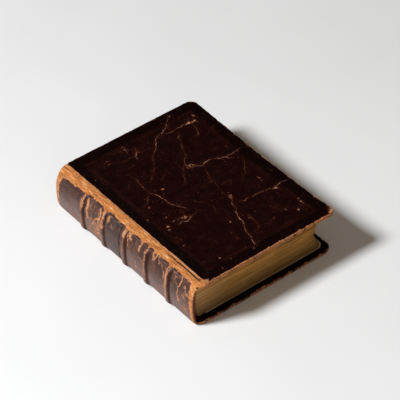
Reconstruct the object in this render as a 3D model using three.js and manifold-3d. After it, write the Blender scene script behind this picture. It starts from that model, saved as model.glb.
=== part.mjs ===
// A small leather-bound prayer book with five raised bands, lying closed on its back cover.
//
// Millimetres. +Z is up, +X runs from the spine to the fore edge and +Y from the tail to the head.
// Inside this file x = 0 is the hinge line of both covers. The exported group is moved along X so
// that the origin ends under the middle of the whole book.
//
// Built like a sewn book on raised cords: folded gatherings of leaves are sewn to five cords, the
// back is rounded and lined, two pasteboard covers hang on leather joints, and leather covers all.

import * as THREE from "three";
import { mergeVertices } from "three/addons/utils/BufferGeometryUtils.js";
import Module from "manifold-3d";

const wasm = await Module();
wasm.setup();

// ---- Driving dimensions ----

const BOOK_HEIGHT = 160; // tail to head over the covers
const BOOK_THICKNESS = 38; // from the table to the top of the front cover
const COVER_WIDTH = 117; // hinge line to the fore edge of a cover
const BAND_RISE = 1.8; // how far a raised band stands above the spine's panels
const COVER_CORNER = 7; // corner radius of a cover at the fore edge
const COVER_THICKNESS = 3;
const SQUARE = 4.8; // how far a cover overhangs the leaves at head and tail
const FORE_SQUARE = 4.5; // the same at the fore edge
const FORE_EDGE_HOLLOW = 6.5; // depth of the concave fore edge
const HOLLOW_Z = 17; // height of the deepest place in the fore edge
const LEAF_CORNER = 6; // corner radius of the leaves
const GATHERINGS = 16;

// Section of the spine leather's outside, x and z, from the back hinge line round to the front
// one. It has sunk towards the table, so it is fuller at the bottom than at the top.
const SPINE_PROFILE = [
  [-0.6, 0.15],
  [-4, 0.15],
  [-7, 0.7],
  [-8.7, 2.1],
  [-9.9, 5],
  [-10.8, 10],
  [-11.2, 16],
  [-11.2, 22],
  [-10.7, 27],
  [-9.6, 31],
  [-7.6, 34.4],
  [-4.3, 36.8],
  [-2.3, 37.45],
  [-0.6, 37.8],
];

// Places round the spine are numbered by the points of that section.
const BACK_JOINT = [0, 1.97];
const SPINE_SPAN = [2.03, 10.97];
const FRONT_JOINT = [11.03, 13];
const FURTHEST_BACK = 6.5;

const CLEAR = 0.1; // gap between layers that are glued or pressed together

const COVER_LEATHER = 0.6; // leather on the outside and on the edges of a cover
const TURN_IN_WIDTH = 10; // leather folded round to the inside of a cover
const TURN_IN_THICKNESS = 0.25;
const FLYLEAF = 0.3;

const SPINE_LEATHER = 1;
const CAP_TURN_IN = 0.9; // a second layer of leather folded in at head and tail
const CAP_LENGTH = 4.2;
const LINING = 0.3;
const LAYERS_ON_BACK = 1.5; // leather, lining and glue together, outside the sewn folds
const JOINT_LEATHER = 0.8;
const LEAF_START = 3.5; // x where the leaves come free of the sewn folds
const HINGE_GAP = 0.3; // from the hinge line to the cover that turns on it

const CORD_RADIUS = 0.95;
const BAND_HALF_WIDTH = 3.6;
const BAND_PITCH = 24.65;
const MIDDLE_BAND = -1.5; // the bands sit a little nearer the tail
const BANDS = [2, 1, 0, -1, -2].map((step) => MIDDLE_BAND + step * BAND_PITCH); // y, head first
const KETTLE_Y = 70; // chain stitches near head and tail
const THREAD_RADIUS = 0.17;
const HEADBAND_RADIUS = 0.9;

const HALF_HEIGHT = BOOK_HEIGHT / 2;
const LEAF_HALF_HEIGHT = HALF_HEIGHT - SQUARE;
const LEAVES_TOP = BOOK_THICKNESS - COVER_THICKNESS - CLEAR;
const LEAVES_BOTTOM = COVER_THICKNESS + CLEAR;

// ---- Colours ----

const leather = (colour, roughness) =>
  new THREE.MeshStandardMaterial({ color: colour, roughness, metalness: 0 });
const coverLeather = leather(0x1c0806, 0.45);
const spineLeather = leather(0x4a3430, 0.5);
const wornLeather = leather(0xb5703a, 0.7);
const labelLeather = leather(0x2b2b2e, 0.5);
const board = leather(0x8a7455, 0.9);
const endpaper = leather(0xcdbf9c, 0.9);
const leafPaper = leather(0x9a8052, 0.8);
const gluedFolds = leather(0x8b7247, 0.85);
const liningCloth = leather(0xb7a685, 0.95);
const hemp = leather(0xa8916a, 0.95);
const silk = leather(0x6b1f1a, 0.6);
const thread = leather(0xd8caa4, 0.9);

// ---- Shapes ----

// A flat outline, square at x0 and with round corners at x1.
function leafOutline(x0, x1, halfHeight, radius) {
  const shape = new THREE.Shape();
  shape.moveTo(x0, -halfHeight);
  shape.lineTo(x1 - radius, -halfHeight);
  shape.absarc(x1 - radius, -halfHeight + radius, radius, -Math.PI / 2, 0, false);
  shape.lineTo(x1, halfHeight - radius);
  shape.absarc(x1 - radius, halfHeight - radius, radius, 0, Math.PI / 2, false);
  shape.lineTo(x0, halfHeight);
  return shape;
}

// A flat sheet or board between two heights.
function slab(outline, z0, z1) {
  const geometry = new THREE.ExtrudeGeometry(outline, {
    depth: z1 - z0,
    bevelEnabled: false,
    curveSegments: 6,
  });
  return geometry.translate(0, 0, z0);
}

const spineCurve = new THREE.SplineCurve(SPINE_PROFILE.map(([x, z]) => new THREE.Vector2(x, z)));

// A point on the spine's section, moved outwards by offset.
function spinePoint(place, offset) {
  const t = place / (SPINE_PROFILE.length - 1);
  const along = spineCurve.getTangent(t);
  const outwards = new THREE.Vector2(-along.y, along.x);
  return spineCurve.getPoint(t).addScaledVector(outwards, offset);
}

// How much of a band's rise is left at a place: all of it on the back, none at the joints.
function bandFade(place) {
  const { smoothstep } = THREE.MathUtils;
  return smoothstep(place, 2.2, 4.2) * (1 - smoothstep(place, 8.4, 10.7));
}

// How far the spine leather rises over the cords at a place.
function bandRise(place, y) {
  const near = Math.min(...BANDS.map((band) => Math.abs(y - band)));
  if (near >= BAND_HALF_WIDTH) return 0;
  return BAND_RISE * bandFade(place) * 0.5 * (1 + Math.cos((Math.PI * near) / BAND_HALF_WIDTH));
}

const between = (from, to, steps) =>
  Array.from({ length: steps + 1 }, (_, i) => from + ((to - from) * i) / steps);

// A closed solid from a grid of outer points and a grid of inner points over the same cells.
function closedSheet(rows, columns, outer, inner) {
  const positions = [];
  const faces = [];
  const sides = [outer, inner];
  for (const side of sides)
    for (const row of rows)
      for (const column of columns) positions.push(...side(row, column));
  const width = columns.length;
  const at = (side, i, j) => (side * rows.length + i) * width + j;
  const quad = (a, b, c, d) => faces.push(a, b, c, a, c, d);
  for (let i = 0; i + 1 < rows.length; i++)
    for (let j = 0; j + 1 < width; j++) {
      quad(at(0, i, j), at(0, i + 1, j), at(0, i + 1, j + 1), at(0, i, j + 1));
      quad(at(1, i, j), at(1, i, j + 1), at(1, i + 1, j + 1), at(1, i + 1, j));
    }
  const lastRow = rows.length - 1;
  const lastColumn = width - 1;
  for (let i = 0; i < lastRow; i++) {
    quad(at(0, i + 1, 0), at(0, i, 0), at(1, i, 0), at(1, i + 1, 0));
    quad(at(0, i, lastColumn), at(0, i + 1, lastColumn), at(1, i + 1, lastColumn), at(1, i, lastColumn));
  }
  for (let j = 0; j < lastColumn; j++) {
    quad(at(0, 0, j), at(0, 0, j + 1), at(1, 0, j + 1), at(1, 0, j));
    quad(at(0, lastRow, j + 1), at(0, lastRow, j), at(1, lastRow, j), at(1, lastRow, j + 1));
  }
  const geometry = new THREE.BufferGeometry();
  geometry.setAttribute("position", new THREE.Float32BufferAttribute(positions, 3));
  geometry.setIndex(faces);
  return facingOut(geometry);
}

// Turns a closed geometry's faces round if they point inwards.
function facingOut(geometry) {
  const p = geometry.attributes.position;
  const index = geometry.index;
  const [a, b, c] = [new THREE.Vector3(), new THREE.Vector3(), new THREE.Vector3()];
  let volume = 0;
  for (let i = 0; i < index.count; i += 3) {
    a.fromBufferAttribute(p, index.getX(i));
    b.fromBufferAttribute(p, index.getX(i + 1));
    c.fromBufferAttribute(p, index.getX(i + 2));
    volume += a.dot(b.cross(c));
  }
  if (volume < 0) geometry.setIndex(Array.from(index.array).reverse());
  return geometry;
}

// A curved sheet on the spine between two offsets, over a range of places and of y.
function spineSheet(places, ys, outerOffset, innerOffset) {
  const side = (offset) => (y, place) => {
    const point = spinePoint(place, offset(place, y));
    return [point.x, y, point.y];
  };
  return closedSheet(ys, places, side(outerOffset), side(innerOffset));
}

// A cord, roll or thread laid round the spine at one y. radius and offset may change on the way.
function spineTube(y, span, radius, offset, sides, steps) {
  const positions = [];
  const faces = [];
  between(...span, steps).forEach((place) => {
    const r = radius(place);
    for (let s = 0; s < sides; s++) {
      const turn = (2 * Math.PI * s) / sides;
      const point = spinePoint(place, offset(place) + r * Math.cos(turn));
      positions.push(point.x, y + r * Math.sin(turn), point.y);
    }
  });
  for (let i = 0; i < steps; i++)
    for (let s = 0; s < sides; s++) {
      const next = (s + 1) % sides;
      const [a, b] = [i * sides + s, i * sides + next];
      faces.push(a, b, b + sides, a, b + sides, a + sides);
    }
  const last = steps * sides;
  for (let s = 1; s + 1 < sides; s++) {
    faces.push(0, s + 1, s);
    faces.push(last, last + s, last + s + 1);
  }
  const geometry = new THREE.BufferGeometry();
  geometry.setAttribute("position", new THREE.Float32BufferAttribute(positions, 3));
  geometry.setIndex(faces);
  return facingOut(geometry);
}

// ---- Cutting with manifold-3d ----

function solid(geometry) {
  const bare = geometry.clone();
  bare.deleteAttribute("normal");
  bare.deleteAttribute("uv");
  const merged = mergeVertices(bare, 1e-4);
  const mesh = new wasm.Mesh({
    numProp: 3,
    vertProperties: merged.attributes.position.array,
    triVerts: new Uint32Array(merged.index.array),
  });
  return new wasm.Manifold(mesh);
}

function geometryOf(manifold) {
  const mesh = manifold.getMesh();
  const geometry = new THREE.BufferGeometry();
  geometry.setAttribute("position", new THREE.BufferAttribute(mesh.vertProperties, 3));
  geometry.setIndex(new THREE.BufferAttribute(mesh.triVerts, 1));
  return geometry;
}

function piece(name, geometry, material) {
  const mesh = new THREE.Mesh(geometry, material);
  mesh.name = name;
  return mesh;
}

// ---- Covers ----

// The leather of a cover lying outside down: a tray round the board, folded in on three sides.
function coverLeatherGeometry() {
  const skin = COVER_LEATHER;
  const ledge = COVER_THICKNESS - TURN_IN_THICKNESS;
  const outside = leafOutline(HINGE_GAP, COVER_WIDTH, HALF_HEIGHT, COVER_CORNER);
  const pocket = leafOutline(-1, COVER_WIDTH - skin, HALF_HEIGHT - skin, COVER_CORNER - skin);
  const window = leafOutline(-1, COVER_WIDTH - TURN_IN_WIDTH, HALF_HEIGHT - TURN_IN_WIDTH, 2);
  return geometryOf(
    solid(slab(outside, 0, COVER_THICKNESS))
      .subtract(solid(slab(pocket, skin, ledge)))
      .subtract(solid(slab(window, ledge - CLEAR, COVER_THICKNESS + 1))),
  );
}

// One cover lying outside down: leather, pasteboard and the paper pasted inside it.
function cover(side) {
  const group = new THREE.Group();
  const inset = COVER_LEATHER + CLEAR;
  const ledge = COVER_THICKNESS - TURN_IN_THICKNESS;
  const start = HINGE_GAP + 2 * CLEAR;
  const boardOutline = leafOutline(start, COVER_WIDTH - inset, HALF_HEIGHT - inset, COVER_CORNER - inset);
  const reach = TURN_IN_WIDTH + CLEAR;
  const paper = leafOutline(start, COVER_WIDTH - reach, HALF_HEIGHT - reach, 2);
  group.add(
    piece(`${side}_cover_leather`, coverLeatherGeometry(), coverLeather),
    piece(`${side}_board`, slab(boardOutline, inset, ledge - CLEAR), board),
    piece(`${side}_pastedown`, slab(paper, ledge, COVER_THICKNESS), endpaper),
  );
  return group;
}

// ---- Leaves ----

// x of the leaves' front edge at a height: hollow in the middle, with a lip above and below.
function foreEdge(z) {
  const reach = z > HOLLOW_Z ? LEAVES_TOP - HOLLOW_Z : HOLLOW_Z - LEAVES_BOTTOM;
  const away = Math.min(1, Math.abs(z - HOLLOW_Z) / reach);
  return COVER_WIDTH - FORE_SQUARE - FORE_EDGE_HOLLOW * (1 - away ** 1.35);
}

function leaves(name, z0, z1, material) {
  const outline = leafOutline(LEAF_START, foreEdge((z0 + z1) / 2), LEAF_HALF_HEIGHT, LEAF_CORNER);
  return piece(name, slab(outline, z0, z1), material);
}

// The gatherings, first one on top, with a free endpaper above and below.
function textBlock() {
  const group = new THREE.Group();
  const top = LEAVES_TOP - FLYLEAF - CLEAR;
  const bottom = LEAVES_BOTTOM + FLYLEAF + CLEAR;
  const pitch = (top - bottom + CLEAR) / GATHERINGS;
  group.add(leaves("front_flyleaf", LEAVES_TOP - FLYLEAF, LEAVES_TOP, endpaper));
  group.add(leaves("back_flyleaf", LEAVES_BOTTOM, LEAVES_BOTTOM + FLYLEAF, endpaper));
  for (let i = 0; i < GATHERINGS; i++) {
    const upper = top - i * pitch;
    const name = `gathering_${String(i + 1).padStart(2, "0")}`;
    group.add(leaves(name, upper - pitch + CLEAR, upper, leafPaper));
  }
  return group;
}

// The sewn and glued folds of all the gatherings, rounded behind and with a shoulder for each cover.
function sewnFolds() {
  const shoulderX = -2 * CLEAR;
  const end = LEAF_START - CLEAR;
  const places = between(SPINE_SPAN[0], SPINE_SPAN[1], 18);
  const round = places.map((place) => spinePoint(place, -LAYERS_ON_BACK));
  const low = round[0];
  const high = round[round.length - 1];
  const outline = [
    ...round,
    new THREE.Vector2(shoulderX, high.y),
    new THREE.Vector2(shoulderX, LEAVES_TOP),
    new THREE.Vector2(end, LEAVES_TOP),
    new THREE.Vector2(end, LEAVES_BOTTOM),
    new THREE.Vector2(shoulderX, LEAVES_BOTTOM),
    new THREE.Vector2(shoulderX, low.y),
  ];
  const geometry = new THREE.ExtrudeGeometry(new THREE.Shape(outline), {
    depth: 2 * LEAF_HALF_HEIGHT,
    bevelEnabled: false,
  });
  // The outline is drawn with z as its second axis, so the extrusion is stood up along y.
  geometry.rotateX(Math.PI / 2).translate(0, LEAF_HALF_HEIGHT, 0);
  return piece("sewn_folds", geometry, gluedFolds);
}

// ---- Spine ----

// Stations along y for the spine leather: close together over each band and at the caps.
function spineStations() {
  const across = [-1, -0.75, -0.5, -0.25, 0, 0.25, 0.5, 0.75, 1].map((s) => s * BAND_HALF_WIDTH);
  const overBands = [...BANDS].reverse().flatMap((band) => across.map((step) => band + step));
  const capEdge = HALF_HEIGHT - CAP_LENGTH;
  const capStart = capEdge - CLEAR;
  return [-HALF_HEIGHT, -capEdge, -capStart, ...overBands, capStart, capEdge, HALF_HEIGHT];
}

function spineCovering() {
  const places = between(...SPINE_SPAN, 18);
  const capEdge = HALF_HEIGHT - CAP_LENGTH;
  const inner = (place, y) => {
    const cap = Math.abs(y) >= capEdge ? CAP_TURN_IN : 0;
    return -SPINE_LEATHER - cap + 0.92 * bandRise(place, y);
  };
  return piece("spine_leather", spineSheet(places, spineStations(), bandRise, inner), spineLeather);
}

// The strip of leather that flexes when a cover opens, on the spine's side of the hinge line.
function joint(name, span) {
  const ys = [-HALF_HEIGHT, HALF_HEIGHT];
  const sheet = spineSheet(between(...span, 4), ys, () => 0, () => -JOINT_LEATHER);
  return piece(name, sheet, wornLeather);
}

function raisedCord(number) {
  const radius = (place) => Math.max(0.15, CORD_RADIUS * bandFade(place));
  const offset = (place) => -LAYERS_ON_BACK + CLEAR / 2 + radius(place);
  const y = BANDS[number - 1];
  return piece(`raised_cord_${number}`, spineTube(y, [2.6, 10.2], radius, offset, 10, 24), hemp);
}

function kettleStitch(name, y) {
  const offset = () => -LAYERS_ON_BACK + CLEAR / 2 + THREAD_RADIUS;
  return piece(name, spineTube(y, [2.7, 10], () => THREAD_RADIUS, offset, 6, 22), thread);
}

function headband(name, y) {
  const offset = () => -SPINE_LEATHER - CAP_TURN_IN - CLEAR - HEADBAND_RADIUS;
  return piece(name, spineTube(y, [3.3, 9.7], () => HEADBAND_RADIUS, offset, 10, 20), silk);
}

// Cloth glued on the folds, in one panel between each two bands and one at each end.
function spineLining(number) {
  const clearOfCord = 1.8;
  const edges = [KETTLE_Y, ...BANDS, -KETTLE_Y];
  const ys = [edges[number] + clearOfCord, edges[number - 1] - clearOfCord];
  const outer = () => -SPINE_LEATHER - CLEAR;
  const inner = () => -SPINE_LEATHER - CLEAR - LINING;
  const sheet = spineSheet(between(2.4, 10.6, 16), ys, outer, inner);
  return piece(`spine_lining_${number}`, sheet, liningCloth);
}

// A blank leather label on the third panel from the head.
function label() {
  const margin = BAND_HALF_WIDTH + 0.3;
  const ys = [BANDS[2] + margin, BANDS[1] - margin];
  const outer = () => 0.3 + CLEAR / 2;
  const inner = () => CLEAR / 2;
  return piece("spine_label", spineSheet(between(3.2, 9.6, 14), ys, outer, inner), labelLeather);
}

// ---- Assembly ----

const book = new THREE.Group();
book.position.x = (BAND_RISE - spinePoint(FURTHEST_BACK, 0).x - COVER_WIDTH) / 2;

const backCover = cover("back");
const frontCover = cover("front");
frontCover.scale.z = -1;
frontCover.position.z = BOOK_THICKNESS;
book.add(backCover, frontCover, textBlock(), sewnFolds(), spineCovering(), label());

book.add(joint("front_joint_leather", FRONT_JOINT), joint("back_joint_leather", BACK_JOINT));
BANDS.forEach((_, i) => book.add(raisedCord(i + 1)));
for (let number = 1; number <= BANDS.length + 1; number++) book.add(spineLining(number));

const headbandY = LEAF_HALF_HEIGHT + HEADBAND_RADIUS + 2 * CLEAR;
book.add(headband("headband_head", headbandY), headband("headband_tail", -headbandY));
book.add(kettleStitch("kettle_stitch_head", KETTLE_Y), kettleStitch("kettle_stitch_tail", -KETTLE_Y));

export default book;
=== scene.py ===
# A small antique prayer book in worn leather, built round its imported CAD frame.
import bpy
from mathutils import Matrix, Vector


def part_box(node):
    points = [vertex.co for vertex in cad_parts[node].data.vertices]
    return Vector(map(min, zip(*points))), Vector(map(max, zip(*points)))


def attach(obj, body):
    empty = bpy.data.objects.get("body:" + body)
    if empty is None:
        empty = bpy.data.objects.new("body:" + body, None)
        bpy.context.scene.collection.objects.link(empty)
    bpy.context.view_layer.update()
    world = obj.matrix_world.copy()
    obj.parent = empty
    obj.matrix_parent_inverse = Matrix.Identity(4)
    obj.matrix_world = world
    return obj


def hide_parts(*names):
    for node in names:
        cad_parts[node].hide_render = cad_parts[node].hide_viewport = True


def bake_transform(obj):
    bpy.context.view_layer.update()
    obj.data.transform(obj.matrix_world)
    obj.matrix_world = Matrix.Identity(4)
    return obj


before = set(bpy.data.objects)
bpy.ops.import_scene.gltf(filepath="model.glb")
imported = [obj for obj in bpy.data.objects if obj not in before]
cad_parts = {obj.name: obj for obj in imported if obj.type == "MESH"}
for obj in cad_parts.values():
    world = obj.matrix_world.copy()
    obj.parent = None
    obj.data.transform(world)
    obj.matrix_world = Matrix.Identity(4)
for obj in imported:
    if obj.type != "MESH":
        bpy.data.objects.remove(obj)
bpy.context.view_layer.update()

import math

import bpy
import numpy as np
from mathutils import Matrix, Vector

# Lengths below are millimetres in the book's own axes: x = 0 is the hinge line of the covers, with
# the spine at -x and the fore edge at +x; y runs from tail to head and z up from the table.
MM = 0.001
COVER_WIDTH = 117.0
HALF_HEIGHT = 80.0
THICKNESS = 38.0
ORIGIN_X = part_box("front_cover_leather")[1].x / MM - COVER_WIDTH

COVER_THICKNESS = 3.0
COVER_START = -0.35  # a cover's spine edge lies a little behind its hinge line
LEAF_HALF_HEIGHT = 75.2
LEAF_START = 3.5
LEAVES_BOTTOM = 3.1
LEAVES_TOP = 34.9
FLYLEAF = 0.3
GATHERINGS = 16
FIRST_STILL = 9  # gatherings before this one are baked in place; the rest go with the text block
WIDEST = COVER_WIDTH - 4.5  # the leaves' furthest reach, inside the cover's square
HOLLOW, HOLLOW_DEPTH = 17.0, 6.5  # the height at which the fore edge is most hollow, and how much
BANDS = tuple(-1.5 + 24.65 * step for step in (2, 1, 0, -1, -2))
FRONT_HINGE = 13  # the number in SPINE_PROFILE of the point on the front hinge line

# The outside of the spine leather, x and z, from the back hinge line to the front one, and then on
# under the edge of the front cover. Places on the spine are numbered by these points.
SPINE_PROFILE = np.array([
    (-0.6, 0.15), (-4, 0.15), (-7, 0.7), (-8.7, 2.1), (-9.9, 5), (-10.8, 10), (-11.2, 16),
    (-11.2, 22), (-10.7, 27), (-9.6, 31), (-7.6, 34.4), (-4.3, 36.8), (-2.3, 37.45),
    (-0.6, 37.7), (1.2, 37.6),
])


# ---- Numbers ----

def smoothstep(low, high, value):
    t = np.clip((np.asarray(value, float) - low) / (high - low), 0, 1)
    return t * t * (3 - 2 * t)


def bell(value, width):
    return np.exp(-(value / width) ** 2)


def cell_noise(points, seed):
    """Smooth noise from -1 to 1 at 2-D points, one cell to a unit."""
    points = np.asarray(points, float)
    cell = np.floor(points).astype(np.int64)
    part = points - cell
    ease = part * part * (3 - 2 * part)

    def corner(i, j):
        h = (cell[..., 0] + i) * 374761393 + (cell[..., 1] + j) * 668265263 + seed * 974711
        h = (h ^ (h >> 13)) * 1274126177
        return ((h ^ (h >> 16)) & 0xFFFF) / 32767.5 - 1

    low = corner(0, 0) * (1 - ease[..., 0]) + corner(1, 0) * ease[..., 0]
    high = corner(0, 1) * (1 - ease[..., 0]) + corner(1, 1) * ease[..., 0]
    return low * (1 - ease[..., 1]) + high * ease[..., 1]


def fractal(x, y, size, seed):
    """Three octaves of noise, from about -1 to 1, whose largest features are size across."""
    total, weight = 0, 0
    for octave in range(3):
        scale = 2 ** octave / size
        points = np.stack([np.asarray(x) * scale, np.asarray(y) * scale], -1)
        total = total + cell_noise(points, seed + octave) / 2 ** octave
        weight += 1 / 2 ** octave
    return total / weight * 1.4


# ---- Meshes ----

SHARP_ANGLE = 50  # degrees between faces above which an edge isn't shaded smooth


def in_metres(point):
    """A point in the book's axes as one in the frame's."""
    return tuple((np.array(point) + (ORIGIN_X, 0, 0)) * MM)


def add_object(name, data):
    made = bpy.data.objects.new(name, data)
    bpy.context.scene.collection.objects.link(made)
    return made


def add_mesh(name, points, faces, material, **attributes):
    """A smooth mesh from points in millimetres. Every vertex also keeps its place at rest."""
    mesh = bpy.data.meshes.new(name)
    points = np.asarray(points, float)
    faces = np.asarray(faces)
    placed = (points + (ORIGIN_X, 0, 0)) * MM
    mesh.vertices.add(len(points))
    mesh.vertices.foreach_set("co", placed.astype(np.float32).ravel())
    mesh.loops.add(faces.size)
    mesh.loops.foreach_set("vertex_index", faces.astype(np.int32).ravel())
    mesh.polygons.add(len(faces))
    starts = np.arange(len(faces), dtype=np.int32) * faces.shape[1]
    mesh.polygons.foreach_set("loop_start", starts)
    mesh.polygons.foreach_set("use_smooth", np.ones(len(faces), bool))
    mesh.update(calc_edges=True)
    rest = mesh.attributes.new("rest", "FLOAT_VECTOR", "POINT")
    rest.data.foreach_set("vector", points.astype(np.float32).ravel())
    for key, values in attributes.items():
        made = mesh.attributes.new(key, "FLOAT", "POINT")
        spread = np.broadcast_to(values, len(points)).astype(np.float32)
        made.data.foreach_set("value", spread)
    mesh.set_sharp_from_angle(angle=math.radians(SHARP_ANGLE))
    mesh.materials.append(material)
    return add_object(name, mesh)


def box_lattice(xs, ys, layers):
    """The outside of a box of lattice points: their x, y and layer, and its faces, outwards."""
    number = np.full((len(xs), len(ys), layers), -1)
    outside = np.zeros(number.shape, bool)
    for axis in range(3):
        for end in (0, -1):
            outside[(slice(None),) * axis + (end,)] = True
    number[outside] = np.arange(outside.sum())
    faces = []
    # Each side as a grid whose first axis crossed with its second points outwards at its low end.
    for low, high in (
        (number[:, :, 0].T, number[:, :, -1].T),
        (number[0].T, number[-1].T),
        (number[:, 0, :], number[:, -1, :]),
    ):
        faces.append(grid_faces(low))
        faces.append(grid_faces(high)[:, ::-1])
    i, j, layer = np.nonzero(outside)
    return xs[i], ys[j], layer, np.concatenate(faces)


def grid_faces(number):
    """Quads over a grid of vertex numbers, facing its first axis crossed with its second."""
    a, b, c, d = number[:-1, :-1], number[1:, :-1], number[1:, 1:], number[:-1, 1:]
    return np.stack([a, b, c, d], -1).reshape(-1, 4)


def crowded(low, high, step, near=(0.25, 0.7, 1.4, 2.4)):
    """Numbers from low to high about a step apart, and closer together near both ends."""
    inner = np.linspace(low + near[-1], high - near[-1], max(2, int((high - low) / step)))
    start = [low, *(low + n for n in near[:-1])]
    return np.array([*start, *inner, *(high + low - n for n in start[::-1])])


def rows_over(half_height, step):
    return crowded(-half_height, half_height, step)


def round_corners(x, y, x0, x1, half_y, spine_radius, fore_radius):
    """Moves points of a rectangle so that its outline gets round corners."""
    region = 14.0  # size of the square at each corner whose points move
    middle, half_x = (x0 + x1) / 2, (x1 - x0) / 2
    x, y = x.copy() - middle, y.copy()
    for side, radius in ((-1, spine_radius), (1, fore_radius)):
        for end in (-1, 1):
            u = (side * x - (half_x - region)) / region
            v = (end * y - (half_y - region)) / region
            inside = (u > 0) & (v > 0)
            u, v = u[inside], v[inside]
            ring = np.maximum(u, v)
            straight = region - radius
            length = straight + math.pi * radius / 4
            along = np.minimum(u, v) / ring * length
            turn = np.clip((along - straight) / radius, 0, math.pi / 4)
            across = np.where(along < straight, along, straight + radius * np.sin(turn))
            out = straight + radius * np.cos(turn)
            new_u = np.where(u >= v, out, across) * ring
            new_v = np.where(u >= v, across, out) * ring
            x[inside] = side * (half_x - region + new_u)
            y[inside] = end * (half_y - region + new_v)
    return x + middle, y


# ---- Materials ----

class Graph:
    """Builds one material's nodes. Coordinates are in millimetres: the 'rest' attribute, or for
    CAD objects and the floor the object's own."""

    def __init__(self, name, object_space=False):
        self.material = bpy.data.materials.new(name)
        self.material.use_nodes = True
        self.tree = self.material.node_tree
        self.shader = self.tree.nodes["Principled BSDF"]
        if object_space:
            place = self.node("ShaderNodeTexCoord").outputs["Object"]
            inputs = {"Vector": place, "Scale": (1 / MM, 1 / MM, 1 / MM)}
            self.rest = self.node("ShaderNodeMapping", inputs).outputs["Vector"]
        else:
            self.rest = self.attribute("rest", "Vector")

    def put(self, socket, value):
        if isinstance(value, bpy.types.NodeSocket):
            self.tree.links.new(value, socket)
        else:
            socket.default_value = value

    def node(self, kind, inputs=(), **settings):
        made = self.tree.nodes.new(kind)
        for key, value in settings.items():
            setattr(made, key, value)
        for key, value in dict(inputs).items():
            self.put(made.inputs[key], value)
        return made

    def attribute(self, name, output="Fac"):
        return self.node("ShaderNodeAttribute", attribute_name=name).outputs[output]

    def stretched(self, scale):
        inputs = {"Vector": self.rest, "Scale": scale}
        return self.node("ShaderNodeMapping", inputs).outputs["Vector"]

    def wandering(self, scale, detail):
        """Coordinates pushed about a little by noise."""
        inputs = {"Vector": self.rest, "Scale": scale, "Detail": detail}
        push = self.node("ShaderNodeTexNoise", inputs).outputs["Color"]
        return self.node("ShaderNodeVectorMath", {0: self.rest, 1: push}).outputs[0]

    def noise(self, scale, detail=3.0, roughness=0.55, vector=None):
        inputs = {"Vector": vector or self.rest, "Scale": scale, "Detail": detail,
                  "Roughness": roughness}
        return self.node("ShaderNodeTexNoise", inputs).outputs["Fac"]

    def cells(self, scale, feature="F1", vector=None):
        inputs = {"Vector": vector or self.rest, "Scale": scale}
        return self.node("ShaderNodeTexVoronoi", inputs, feature=feature).outputs["Distance"]

    def math(self, operation, a, b=0.0, c=0.0):
        return self.node("ShaderNodeMath", {0: a, 1: b, 2: c}, operation=operation).outputs[0]

    def times(self, a, b):
        return self.math("MULTIPLY", a, b)

    def plus(self, a, b):
        return self.math("ADD", a, b)

    def shifted(self, noise, amount, value):
        """A value with noise of that amount added, where the noise is centred on 0.5."""
        return self.math("MULTIPLY_ADD", self.math("SUBTRACT", noise, 0.5), amount, value)

    def remap(self, value, low, high, to_low=0.0, to_high=1.0):
        inputs = {"Value": value, "From Min": low, "From Max": high,
                  "To Min": to_low, "To Max": to_high}
        made = self.node("ShaderNodeMapRange", inputs, interpolation_type="SMOOTHSTEP")
        return made.outputs["Result"]

    def mix(self, factor, a, b):
        made = self.node("ShaderNodeMix", data_type="RGBA")
        for key, value in (("Factor_Float", factor), ("A_Color", a), ("B_Color", b)):
            socket = next(s for s in made.inputs if s.identifier == key)
            self.put(socket, (*value, 1) if isinstance(value, tuple) else value)
        return next(s for s in made.outputs if s.identifier == "Result_Color")

    def ramp(self, value, stops):
        made = self.node("ShaderNodeValToRGB", {"Fac": value})
        elements = made.color_ramp.elements
        while len(elements) < len(stops):
            elements.new(0.5)
        for element, (place, colour) in zip(elements, stops):
            element.position = place
            element.color = (*colour, 1)
        return made.outputs["Color"]

    def bump(self, height, strength, depth):
        inputs = {"Height": height, "Strength": strength, "Distance": depth * MM}
        return self.node("ShaderNodeBump", inputs).outputs["Normal"]

    def finish(self, colour, roughness, specular, normal=None):
        inputs = {"Base Color": colour, "Roughness": roughness, "Specular IOR Level": specular}
        if normal is not None:
            inputs["Normal"] = normal
        for key, value in inputs.items():
            self.put(self.shader.inputs[key], value)
        return self.material


def shade(colour, share):
    return tuple(share * c for c in colour)


PINK_SUEDE = (0.52, 0.30, 0.205)  # leather's inside where it isn't stained


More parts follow.
